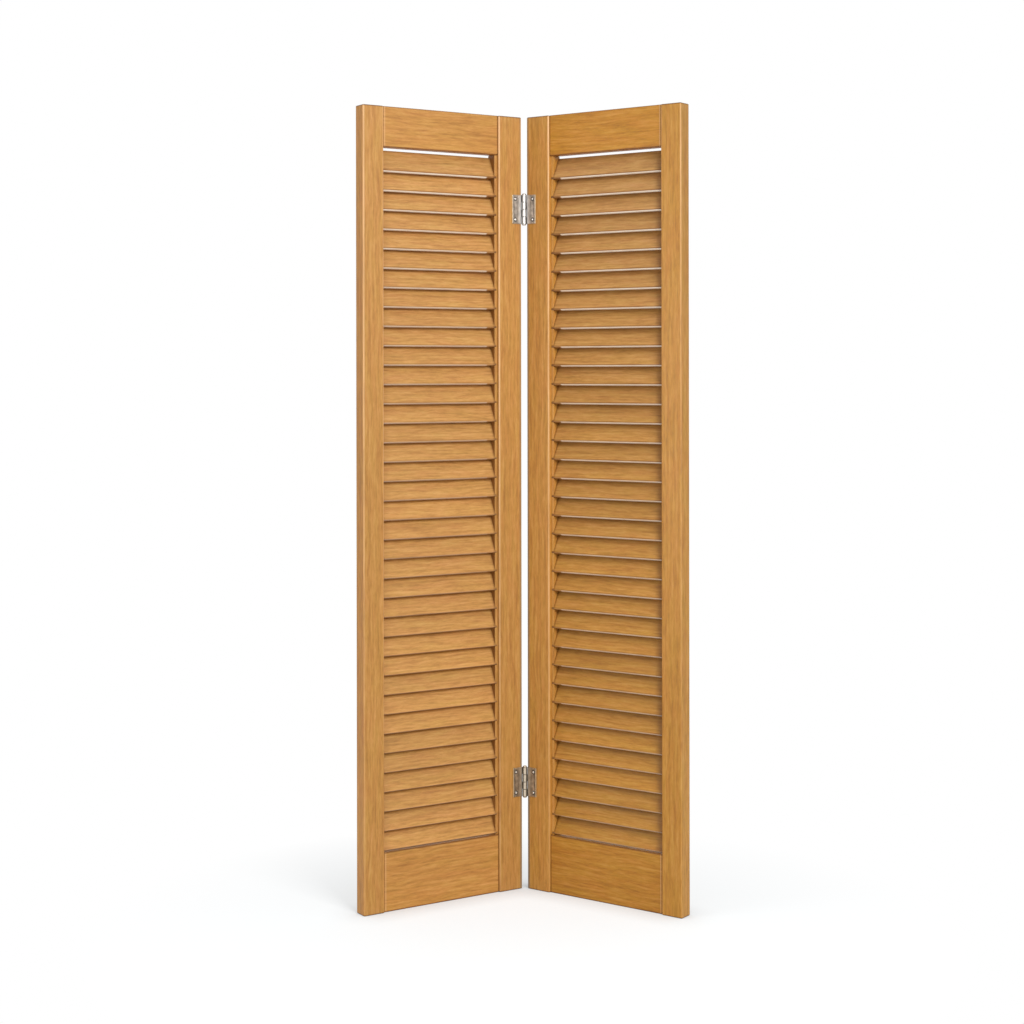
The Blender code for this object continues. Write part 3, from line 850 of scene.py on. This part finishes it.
def knuckle_outline(back, front):
    """Section through a rolled knuckle and the tail that joins it to its plate, in X and Y."""
    bore = KNUCKLE_RADIUS - PLATE_THICKNESS
    turns = [math.pi / 2 + ROLL_TURN * step / ROLL_STEPS for step in range(ROLL_STEPS + 1)]
    outside = [(KNUCKLE_RADIUS * math.cos(turn), KNUCKLE_RADIUS * math.sin(turn)) for turn in turns]
    inside = [(bore * math.cos(turn), bore * math.sin(turn)) for turn in reversed(turns)]
    return [(ROLL_TAIL, back)] + outside + inside + [(ROLL_TAIL, front)]


def plate_outline(reach, notch, half):
    """A plate's flat part in X and Z, square at the knuckles and with two rounded corners."""
    points = [(notch, half), (notch, -half)]
    for quarter, level in ((3, -half + PLATE_CORNER), (0, half - PLATE_CORNER)):
        for step in range(ROUND_STEPS + 1):
            turn = (quarter + step / ROUND_STEPS) * math.pi / 2
            across = reach - PLATE_CORNER + PLATE_CORNER * math.cos(turn)
            points.append((across, level + PLATE_CORNER * math.sin(turn)))
    return points


# How steel is marked all over: cycles in a metre on each axis, then detail and roughness
STEEL_MARKS = {
    "brushing": ((1500.0, 1500.0, 60.0), 3.0, 0.65),
    "smudges": ((190.0, 190.0, 75.0), 3.0, 0.6),
    "specks": ((900.0, 900.0, 900.0), 2.0, 0.6),
}
# Steel colours: brushed, speckled, painted highlight, rim wear with painted highlight, painted shade of the
# lower hinge, and painted shade
BRUSHED_STEEL = (0.6, 0.57, 0.54, 1.0)
SPECKLED_STEEL = (0.45, 0.38, 0.30, 1.0)
HIGHLIGHT_STEEL = (0.95, 0.94, 0.92, 1.0)
WORN_AND_LIT_STEEL = (0.68, 0.50, 0.28, 1.0)
SHADED_STEEL = (0.88, 0.73, 0.53, 1.0)
DARK_SHADE_STEEL = (0.045, 0.036, 0.028, 1.0)
DULLING = 0.50
SPECK_DEPTH = 0.5
WORN_AND_LIT_DEPTH = 0.85
HIGHLIGHT_DULLS = 0.6
SMUDGE_RISE = 0.5
STEEL_BUMP = {"Strength": 0.15, "Distance": 0.0001}

# Ranges that those marks are stretched over: from, to, and the outcome at both
SMUDGE_RANGE = (0.38, 0.64, 0.0, 0.9)
BRUSH_RANGE = (0.35, 0.65, 0.0, 0.35)
SPECK_RANGE = (0.62, 0.74, 0.0, 1.0)
HIGHLIGHT_UNDER_SHADE = (0.0, 1.0, 1.0, 0.5)
SHADE_IN_SMUDGES = (0.3, 0.6, 0.75, 1.0)
METAL_UNDER_PAINTED_LIGHT_AND_WEAR = (0.0, 1.0, 1.0, 0.1)
SHEEN_FROM = 0.3
SHEEN_TO = 0.7


def satin_steel(name, tint, smooth, rough, light_and_shade):
    """Satin steel with rim wear and painted highlight, painted shade on the lower hinge, and the painted
    highlight and shade of the given function.
    """
    material = bpy.data.materials.new(name)
    material.use_nodes = True
    tree = material.node_tree
    shader = tree.nodes["Principled BSDF"]
    where = wired(tree, "TexCoord").outputs["Object"]
    marks = {mark: streaks(tree, where, *run).outputs[0] for mark, run in STEEL_MARKS.items()}
    dulled = [channel * DULLING for channel in tint]
    smudged = spread(tree, marks["smudges"], *SMUDGE_RANGE)
    colour = mixed(tree, "MIX", smudged, (*tint, 1.0), (*dulled, 1.0))
    colour = mixed(tree, "MULTIPLY", spread(tree, marks["brushing"], *BRUSH_RANGE), colour, BRUSHED_STEEL)
    specks = product(tree, spread(tree, marks["specks"], *SPECK_RANGE), SPECK_DEPTH)
    colour = mixed(tree, "MULTIPLY", specks, colour, SPECKLED_STEEL)
    highlight, steel_shade = light_and_shade(tree, where)
    # Painted shade on the lower hinge, which also dims its painted highlight
    tarnish = marked(tree, "tarnish")
    highlight = product(tree, highlight, spread(tree, tarnish, *HIGHLIGHT_UNDER_SHADE))
    colour = mixed(tree, "MIX", highlight, colour, HIGHLIGHT_STEEL)
    # Wear with a painted highlight on a plate's rim and a pin's buttons
    worn_and_lit = product(tree, marked(tree, "arris"), WORN_AND_LIT_DEPTH)
    colour = mixed(tree, "MIX", worn_and_lit, colour, WORN_AND_LIT_STEEL)
    colour = mixed(tree, "MULTIPLY", tarnish, colour, SHADED_STEEL)
    steel_shade = product(tree, steel_shade, spread(tree, marks["smudges"], *SHADE_IN_SMUDGES))
    colour = mixed(tree, "MIX", steel_shade, colour, DARK_SHADE_STEEL)
    tree.links.new(colour, shader.inputs["Base Color"])
    covered = worked(tree, "MAXIMUM", steel_shade, worn_and_lit)
    covered = worked(tree, "MAXIMUM", covered, product(tree, highlight, HIGHLIGHT_DULLS))
    tree.links.new(spread(tree, covered, *METAL_UNDER_PAINTED_LIGHT_AND_WEAR), shader.inputs["Metallic"])
    sheen = spread(tree, marks["brushing"], SHEEN_FROM, SHEEN_TO, smooth, rough)
    tree.links.new(sheen, shader.inputs["Roughness"])
    height = worked(tree, "MULTIPLY_ADD", marks["smudges"], SMUDGE_RISE, marks["brushing"])
    bump = wired(tree, "Bump", None, {**STEEL_BUMP, "Height": height})
    tree.links.new(bump.outputs[0], shader.inputs["Normal"])
    return material


hinge_boxes = {hinge: leaf_box("right", f"{hinge}_hinge_right_plate") for hinge in ("upper", "lower")}
hinge_levels = {hinge: (low.z + high.z) / 2 for hinge, (low, high) in hinge_boxes.items()}
plate_low, plate_high = hinge_boxes["upper"]
plate_reach = plate_high.x
plate_half = (plate_high.z - plate_low.z) / 2
plate_back = stile_boxes["right"][0][0].y - PLATE_FIT
plate_front = plate_back - PLATE_THICKNESS
knuckle_step = plate_half / KNUCKLES_PER_PLATE
screw_rise = plate_half - SCREW_INSET
hinge_front = leaf_axes["right"].to_3x3().inverted() @ Vector((0.0, -1.0, 0.0))
seats = [
    Matrix.Translation((SCREW_OFFSET, plate_front, rise)) @ facing
    for rise in (screw_rise, -screw_rise)
]

# Painted shade and painted highlight on a plate: from, to, and the strength at both, in knuckle radii or in
# metres
BARREL_RANGE = (1.0, 1.0328, 1.0, 0.0)
BARREL_SHADE = (0.78, 0.93, 0.92, 0.0)
BARREL_HIGHLIGHT = (0.86, 0.96, 0.0, 0.95)
JOINT_SHADE = (0.0006, 0.0016, 0.75, 0.0)
CREASE_SHADE = (0.0, 0.0025, 0.7, 0.0)
PLATE_HIGHLIGHT = (0.0025, 0.0110, 0.55, 0.0)
SEAT_SHADE = (0.0048, 0.0064, 0.85, 0.0)
RIM_INSET = 0.0040
RIM_SHADE_BAND = (0.0004, 0.0018, 0.75)


def plate_light_and_shade(tree, where):
    """Painted highlight on the barrel's front and beside it, and painted shade on its sides, joints, round
    the screws and along the rim.
    """
    spot = wired(tree, "SeparateXYZ", None, {"Vector": where}).outputs
    beside = worked(tree, "ABSOLUTE", spot["X"])
    on_barrel = spread(tree, worked(tree, "DIVIDE", beside, KNUCKLE_RADIUS), *BARREL_RANGE)
    off_barrel = worked(tree, "SUBTRACT", 1.0, on_barrel)
    to_room = vector_worked(tree, "DOT_PRODUCT", where, tuple(hinge_front)).outputs["Value"]
    to_front = worked(tree, "DIVIDE", to_room, KNUCKLE_RADIUS)
    from_joint = worked(tree, "PINGPONG", worked(tree, "ADD", spot["Z"], plate_half), knuckle_step / 2)
    barrel_shading = worked(
        tree, "MAXIMUM", spread(tree, to_front, *BARREL_SHADE), spread(tree, from_joint, *JOINT_SHADE))
    beyond = worked(tree, "SUBTRACT", beside, KNUCKLE_RADIUS)
    shadings = [
        product(tree, barrel_shading, on_barrel),
        product(tree, spread(tree, beyond, *CREASE_SHADE), off_barrel),
        band(tree, spot["X"], plate_reach - RIM_INSET, *RIM_SHADE_BAND),
    ]
    for seat in seats:
        away = vector_worked(tree, "DISTANCE", where, tuple(seat.translation)).outputs["Value"]
        shadings.append(spread(tree, away, *SEAT_SHADE))
    steel_shade = shadings[0]
    for other in shadings[1:]:
        steel_shade = worked(tree, "MAXIMUM", steel_shade, other)
    barrel_highlight = product(tree, spread(tree, to_front, *BARREL_HIGHLIGHT), on_barrel)
    return worked(tree, "MAXIMUM", spread(tree, beyond, *PLATE_HIGHLIGHT), barrel_highlight), steel_shade


hinge_steel = satin_steel("hinge_steel", *HINGE_STEEL, plate_light_and_shade)
rim_middle = KNUCKLE_RADIUS + KNUCKLE_FIT + PLATE_RIM
notch = math.sqrt(rim_middle ** 2 - (plate_front + PLATE_RIM) ** 2) - PLATE_RIM
flat = pressed(plate_outline(plate_reach, notch, plate_half), PLATE_THICKNESS, PLATE_RIM, False)
flat.transform(Matrix.Translation((0.0, plate_back, 0.0)) @ facing)
roll = pressed(knuckle_outline(plate_back, plate_front), knuckle_step - KNUCKLE_FIT, KNUCKLE_RIM, True)
rolls = [
    moved(roll, Matrix.Translation((0.0, 0.0, KNUCKLE_FIT / 2 - plate_half + 2 * place * knuckle_step)))
    for place in range(KNUCKLES_PER_PLATE)
]
flare = COUNTERSINK_RADIUS + COUNTERSINK_PAST
countersink = turned(
    [(0.0, -PLATE_THICKNESS * 2), (PILOT_RADIUS, -PLATE_THICKNESS * 2),
     (PILOT_RADIUS, PILOT_RADIUS - COUNTERSINK_RADIUS), (flare, COUNTERSINK_PAST), (0.0, COUNTERSINK_PAST)],
    HOLE_STEPS,
)
plate = combine(combine(flat, rolls, "UNION"), [moved(countersink, seat) for seat in seats], "DIFFERENCE")
# Wear with a painted highlight on the plate's bevelled front rim
rim_wear_and_highlight = []
for vertex in plate.vertices:
    on_rim = plate_front + WELD < vertex.co.y < plate_front + PLATE_RIM - WELD and vertex.co.x > ROLL_TAIL
    at_seat = any((vertex.co - seat.translation).length < COUNTERSINK_RADIUS + WELD for seat in seats)
    rim_wear_and_highlight.append(1.0 if on_rim and not at_seat else 0.0)
store(plate, "arris", rim_wear_and_highlight)
turned_over = Matrix.Rotation(math.pi, 4, "Y")
for hinge, level in hinge_levels.items():
    for side in SIDES:
        stance = Matrix.Translation((0.0, 0.0, level))
        if side == "left":
            stance = stance @ turned_over
        stamped = plate.copy()
        store_all(stamped, tarnish=HINGE_SHADES[hinge])
        fit(f"{hinge}_{side}_rolled_plate", stamped, hinge_steel, side, stance, "hinge_steel",
            f"{hinge}_hinge_{side}_plate")

# Hinge pins
# A steel rod through the four knuckles of each hinge, with a rounded button at both ends.
# It is turned from bar and held by the left leaf's knuckles.
PIN_RADIUS = 0.0030
PIN_TIP_RADIUS = 0.0053
PIN_TIP_HEIGHT = 0.0038
PIN_NECK = 0.0004
PIN_STEPS = 32
TIP_STEPS = 8
TIP_WEAR_AND_HIGHLIGHT = 0.2
PIN_STEEL = ((0.70, 0.69, 0.66), 0.22, 0.36)

# Painted shade and painted highlight on a button: from, to, and the strength at both, in button radii
TIP_SHADE = (0.35, 0.75, 0.0, 0.8)
TIP_HIGHLIGHT = (-0.6, -0.2, 0.8, 0.3)

hinge_side = leaf_axes["left"].to_3x3().inverted() @ Vector((1.0, 0.0, 0.0))


def pin_light_and_shade(tree, where):
    """Painted highlight on the front of a pin's button, and painted shade on its sides."""
    sideways = vector_worked(tree, "DOT_PRODUCT", where, tuple(hinge_side)).outputs["Value"]
    aside = worked(tree, "DIVIDE", worked(tree, "ABSOLUTE", sideways), PIN_TIP_RADIUS)
    back = wired(tree, "SeparateXYZ", None, {"Vector": where}).outputs["Y"]
    highlight = spread(tree, worked(tree, "DIVIDE", back, PIN_TIP_RADIUS), *TIP_HIGHLIGHT)
    return highlight, spread(tree, aside, *TIP_SHADE)


pin_steel = satin_steel("pin_steel", *PIN_STEEL, pin_light_and_shade)
collar = plate_half + PIN_NECK
tip = [(PIN_RADIUS, collar)]
for step in range(TIP_STEPS):
    turn = step / TIP_STEPS * math.pi / 2
    tip.append((PIN_TIP_RADIUS * math.cos(turn), collar + PIN_TIP_HEIGHT * math.sin(turn)))
tip.append((0.0, collar + PIN_TIP_HEIGHT))
pin = turned([(radius, -height) for radius, height in reversed(tip)] + tip, PIN_STEPS)
store(pin, "arris", [TIP_WEAR_AND_HIGHLIGHT if abs(vertex.co.z) > collar + WELD else 0.0 for vertex in pin.vertices])
for hinge, level in hinge_levels.items():
    stance = Matrix.Translation((0.0, 0.0, level))
    rod = pin.copy()
    store_all(rod, tarnish=HINGE_SHADES[hinge])
    fit(f"{hinge}_turned_pin", rod, pin_steel, "left", stance, "pin_steel", f"{hinge}_hinge_pin")

# Hinge screws
# Countersunk wood screws, two in each plate, with slightly domed heads and a cross recess.
# They are steel, driven through the plate into the hinge stile, each left at its own angle.
SCREW_HEAD_RADIUS = 0.0040
SCREW_DOME = 0.0014
SCREW_SHANK_RADIUS = 0.0020
SCREW_LENGTH = 0.022
SCREW_POINT = 0.004
RECESS_LENGTH = 0.0030
RECESS_WIDTH = 0.0006
RECESS_DEPTH = 0.0012
SCREW_STEPS = 32
HEAD_STEPS = 5
SCREW_STEEL = ((0.80, 0.78, 0.74), 0.22, 0.36)
SCREW_SEED = 8

# Painted shade and painted highlight on a head: from, to, and the strength at both, in head radii
HEAD_SHADE = (0.52, 0.78, 0.0, 0.9)
HEAD_HIGHLIGHT = (0.35, 0.65, 1.0, 0.0)


def screw_light_and_shade(tree, where):
    """Painted highlight on the crown of a screw's head and painted shade round its rim."""
    across = vector_worked(tree, "MULTIPLY", where, (1.0, 1.0, 0.0)).outputs[0]
    out = wired(tree, "VectorMath", {"operation": "LENGTH"}, {0: across}).outputs["Value"]
    out = worked(tree, "DIVIDE", out, SCREW_HEAD_RADIUS)
    return spread(tree, out, *HEAD_HIGHLIGHT), spread(tree, out, *HEAD_SHADE)


screw_steel = satin_steel("screw_steel", *SCREW_STEEL, screw_light_and_shade)
head = []
for step in range(HEAD_STEPS):
    turn = step / HEAD_STEPS * math.pi / 2
    head.append((SCREW_HEAD_RADIUS * math.cos(turn), SCREW_DOME * math.sin(turn)))
screw = turned(
    [(0.0, -SCREW_LENGTH), (SCREW_SHANK_RADIUS, SCREW_POINT - SCREW_LENGTH),
     (SCREW_SHANK_RADIUS, SCREW_SHANK_RADIUS - SCREW_HEAD_RADIUS)] + head + [(0.0, SCREW_DOME)],
    SCREW_STEPS,
)
blade = board(RECESS_LENGTH, RECESS_WIDTH, 2 * RECESS_DEPTH, [LEAST_RADIUS] * 4, LEAST_RADIUS)
screw = combine(screw, [blade, moved(blade, Matrix.Rotation(math.pi / 2, 4, "Z"))], "DIFFERENCE")
store_all(screw, arris=0.0)
screw_draw = random.Random(SCREW_SEED)
for hinge, level in hinge_levels.items():
    for side, sign in SIDES.items():
        for spot, rise in (("high", screw_rise), ("low", -screw_rise)):
            seat = Matrix.Translation((sign * SCREW_OFFSET, plate_front, level + rise)) @ facing
            stance = seat @ Matrix.Rotation(screw_draw.uniform(0.0, math.pi / 2), 4, "Z")
            driven = screw.copy()
            store_all(driven, tarnish=HINGE_SHADES[hinge] / 2)
            fit(f"{hinge}_{side}_{spot}_wood_screw", driven, screw_steel, side, stance, "screw_steel",
                f"{hinge}_hinge_{side}_screw_{spot}")

# Floor and light
# A matt white studio floor that runs out into a white room, with the shadow of the door kept on it.
# A large soft lamp stands high at the front right, a weaker one low at the left, and the room fills in.
FLOOR_HALF = 9.0
FLOOR_SQUARES = 8
FLOOR_SHADE = 0.52
FLOOR_LIFT = 0.60
CONTACT_REACH = 0.090
CONTACT_SHADE = 0.65
CONTACT_SAMPLES = 16
FLOOR_TINT = (0.95, 0.985, 1.0, 1.0)
SHADOW_MIDDLE = (0.0, -0.25, 0.0)
SHADOW_REACH = 0.5
WHITE_FROM = 1.05
ROOM_LIGHT = 0.45
LAMPS = {
    "key": ((2.85, -4.94, 3.3), 2.4, 258.0),
    "fill": ((-3.97, -2.11, 1.3), 1.8, 54.0),
}


def seen(tree):
    """One for what is seen, straight, in a shine or through glass, and none for light on surfaces."""
    path = wired(tree, "LightPath")
    mirrored = worked(tree, "MAXIMUM", path.outputs["Is Glossy Ray"], path.outputs["Is Transmission Ray"])
    return worked(tree, "MAXIMUM", path.outputs["Is Camera Ray"], mirrored)


floor_bm = bmesh.new()
bmesh.ops.create_grid(floor_bm, x_segments=FLOOR_SQUARES, y_segments=FLOOR_SQUARES, size=FLOOR_HALF)
floor = bpy.data.objects.new("studio_floor", mesh_from(floor_bm))
bpy.context.scene.collection.objects.link(floor)
floor_white = bpy.data.materials.new("floor_white")
floor_white.use_nodes = True
tree = floor_white.node_tree
tree.nodes.remove(tree.nodes["Principled BSDF"])
matt = wired(tree, "BsdfDiffuse", None, {"Color": (FLOOR_SHADE, FLOOR_SHADE, FLOOR_SHADE, 1.0)}).outputs[0]
# Ambient occlusion dims the floor's glow near the door's foot: a painted contact shadow
open_sky = wired(tree, "AmbientOcclusion", {"samples": CONTACT_SAMPLES}, {"Distance": CONTACT_REACH})
lit = spread(tree, open_sky.outputs["AO"], 0.0, 1.0, FLOOR_LIFT * (1.0 - CONTACT_SHADE), FLOOR_LIFT)
lifted = worked(tree, "MULTIPLY", seen(tree), lit)
lift = wired(tree, "Emission", None, {"Color": FLOOR_TINT, "Strength": lifted}).outputs[0]
near = wired(tree, "AddShader", None, {0: matt, 1: lift}).outputs[0]
white = wired(tree, "Emission", None, {"Strength": 1.0}).outputs[0]
far = wired(tree, "MixShader", None, {0: seen(tree), 1: matt, 2: white}).outputs[0]
on_floor = wired(tree, "TexCoord").outputs["Object"]
away = vector_worked(tree, "DISTANCE", on_floor, SHADOW_MIDDLE).outputs["Value"]
reach = spread(tree, away, SHADOW_REACH, WHITE_FROM, 0.0, 1.0)
ground = wired(tree, "MixShader", None, {0: reach, 1: near, 2: far}).outputs[0]
tree.links.new(ground, tree.nodes["Material Output"].inputs["Surface"])
floor.data.materials.append(floor_white)

room = bpy.data.worlds.new("white_room")
room.use_nodes = True
bpy.context.scene.world = room
level = spread(room.node_tree, seen(room.node_tree), 0.0, 1.0, ROOM_LIGHT, 1.0)
backdrop = room.node_tree.nodes["Background"]
backdrop.inputs["Color"].default_value = (1.0, 1.0, 1.0, 1.0)
room.node_tree.links.new(level, backdrop.inputs["Strength"])

middle = (cad_low + cad_high) / 2
for name, (where, size, power) in LAMPS.items():
    lamp = bpy.data.lights.new(name + "_lamp", "AREA")
    lamp.size = size
    lamp.energy = power
    holder = bpy.data.objects.new(name + "_lamp", lamp)
    holder.location = where
    holder.rotation_euler = (middle - Vector(where)).to_track_quat("-Z", "Y").to_euler()
    bpy.context.scene.collection.objects.link(holder)

# Camera
# It stands in front of the door at about chest height, all but level, with the frame shifted down to
# take in the foot.
CAMERA_PLACE = (0.1070, -4.6720, 1.3295)
CAMERA_TURN = math.radians(1.6585)
CAMERA_ROLL = math.radians(0.087)
CAMERA_LENS = 65.48
CAMERA_SENSOR = 36.0
CAMERA_SHIFT = -0.1377

camera = bpy.data.cameras.new("camera")
camera.lens = CAMERA_LENS
camera.sensor_width = CAMERA_SENSOR
camera.shift_y = CAMERA_SHIFT
stand = bpy.data.objects.new("camera", camera)
stand.location = CAMERA_PLACE
stand.rotation_euler = (math.pi / 2, CAMERA_ROLL, CAMERA_TURN)
bpy.context.scene.collection.objects.link(stand)
bpy.context.scene.camera = stand
bpy.context.scene.view_settings.view_transform = "Standard"
